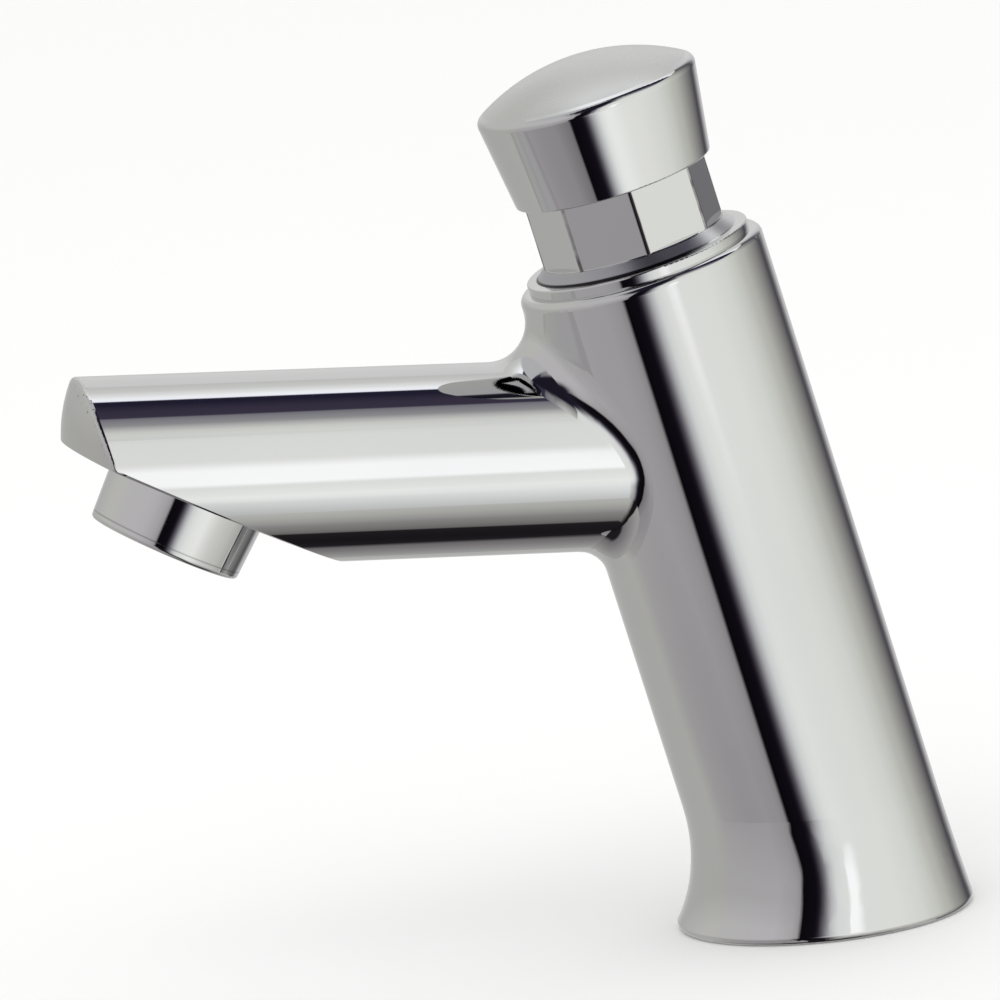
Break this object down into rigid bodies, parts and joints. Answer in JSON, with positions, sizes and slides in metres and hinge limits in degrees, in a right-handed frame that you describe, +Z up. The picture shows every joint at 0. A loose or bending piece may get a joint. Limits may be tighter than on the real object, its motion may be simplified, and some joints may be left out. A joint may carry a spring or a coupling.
{
  "type": "push-button basin tap",
  "caption": "Self-closing basin tap: leaning column with a flared foot, round spout with a slanted aerator, octagonal bonnet and a conical push button.",
  "frame": {"origin": "centre of the inlet thread's mouth, in the plane that the foot stands on", "axes": "+Z up off the basin, -X towards the spout's nose, Y across; the tap is symmetric about the XZ plane"},
  "size_m": [0.146, 0.045, 0.1507],
  "materials": {
    "body_chrome": "polished chrome plate",
    "bonnet_chrome": "polished chrome plate",
    "button_chrome": "polished chrome plate, satin crown",
    "aerator_chrome": "polished chrome plate",
    "raw_brass": "turned",
    "black_rubber": "moulded, matt",
    "fibre": "pressed fibre",
    "white_acetal": "moulded",
    "grey_acetal": "moulded",
    "spring_steel": "drawn wire",
    "stem_steel": "ground",
    "strainer_steel": "punched sheet"
  },
  "bodies": {
    "tap": {"tap_body": "body_chrome", "base_gasket": "black_rubber", "inlet_strainer": "strainer_steel", "seat_ring": "raw_brass", "seat_o_ring": "black_rubber", "cartridge_sleeve": "raw_brass", "bonnet": "bonnet_chrome", "bonnet_gasket": "fibre", "stem_bush": "white_acetal", "stem_seal": "black_rubber", "gland_washer": "raw_brass", "gland_circlip": "spring_steel", "return_spring": "spring_steel", "aerator_housing": "aerator_chrome", "aerator_washer": "black_rubber", "flow_former": "white_acetal", "aerator_screen": "strainer_steel", "aerator_grid": "grey_acetal"},
    "push_stem": {"push_button": "button_chrome", "button_locknut": "raw_brass", "stem": "stem_steel", "piston": "white_acetal", "piston_seal": "black_rubber", "piston_clip": "spring_steel", "valve_washer": "black_rubber", "valve_cup": "raw_brass", "valve_nut": "raw_brass"}
  },
  "joints": [
    {"name": "button_press", "type": "slide", "parent": "tap", "child": "push_stem", "axis": [0.2108, 0, -0.9775], "range_m": [0, 0.008], "stiffness_N_per_m": 1500, "springref_m": -0.008, "deforming": ["return_spring"]}
  ]
}
